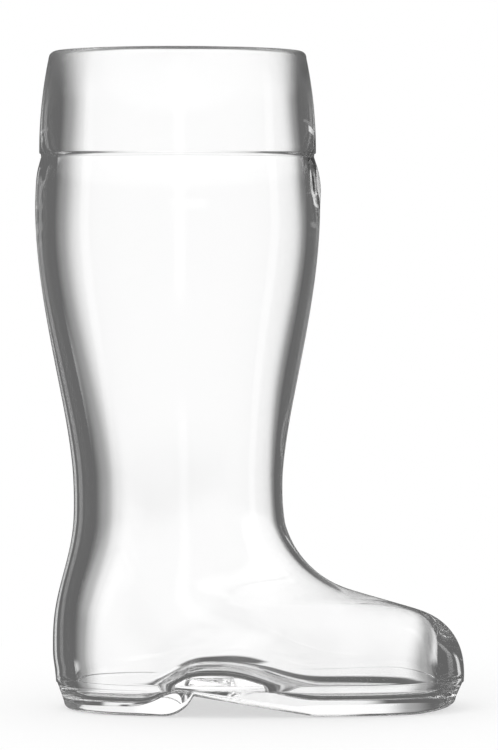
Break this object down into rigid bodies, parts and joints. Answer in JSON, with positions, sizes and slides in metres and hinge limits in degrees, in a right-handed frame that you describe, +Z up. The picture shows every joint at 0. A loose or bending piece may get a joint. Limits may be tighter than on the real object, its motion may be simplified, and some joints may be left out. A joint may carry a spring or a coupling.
{
  "type": "beer boot glass",
  "caption": "Clear glass drinking boot with a smooth cuff band, swelling leg, raised pull straps, round toe, arched sole and block heel; hollow to hold a drink, stands free on heel and sole.",
  "frame": {"origin": "on the table, under the middle of the object's box", "axes": "+X towards the toe, +Y to the boot's left side, +Z up along the leg; the XZ plane is the mirror plane"},
  "size_m": [0.1571, 0.1038, 0.24],
  "materials": {
    "clear_glass": "polished"
  },
  "bodies": {
    "root": {"cuff_band": "clear_glass", "leg_shaft": "clear_glass", "foot_upper": "clear_glass", "sole": "clear_glass", "heel": "clear_glass", "front_pull_strap": "clear_glass", "rear_pull_strap": "clear_glass"}
  },
  "joints": []
}
